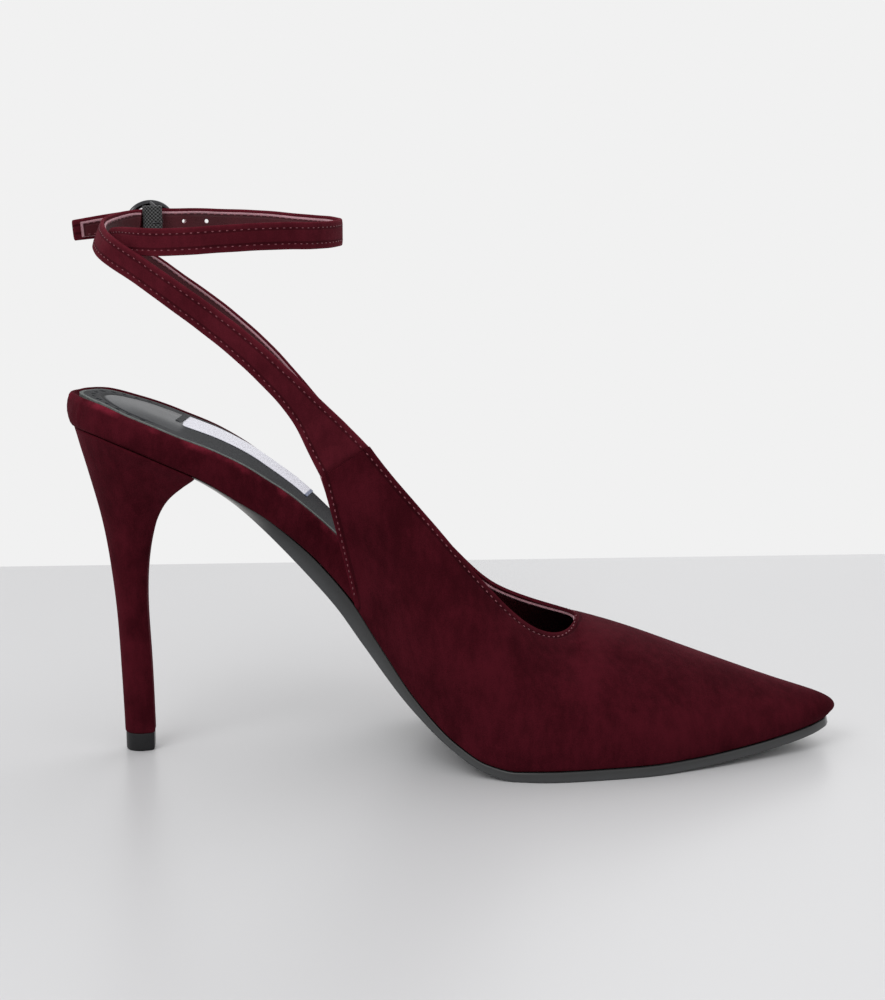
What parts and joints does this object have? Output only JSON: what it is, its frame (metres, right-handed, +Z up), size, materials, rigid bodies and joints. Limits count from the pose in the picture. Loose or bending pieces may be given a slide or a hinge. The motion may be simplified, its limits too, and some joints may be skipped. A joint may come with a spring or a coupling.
{
  "type": "slingback pump",
  "caption": "Pointed suede slingback pump with low-cut vamp, slings that cross behind the ankle, an ankle strap with an oval buckle, and a tall slim heel.",
  "frame": {"origin": "floor under the middle of the shoe's box", "axes": "+X from heel to toe, +Y to the outer side of the foot, +Z up"},
  "size_m": [0.2348, 0.0786, 0.1666],
  "materials": {
    "suede": "deep burgundy suede with a soft short nap",
    "sole_leather": "black leather, edge burnished to a low gloss",
    "sock_leather": "smooth black leather, semi-gloss",
    "top_piece": "hard black rubber",
    "gunmetal": "polished dark plating",
    "elastic": "ribbed black elastic"
  },
  "bodies": {
    "root": {"upper": "suede", "outsole": "sole_leather", "footbed": "suede", "insole": "sock_leather", "heel": "suede", "heel_tip": "top_piece", "strap_medial": "suede", "strap_lateral": "suede", "buckle_frame": "gunmetal", "buckle_prong": "gunmetal", "buckle_elastic": "elastic"}
  },
  "joints": []
}
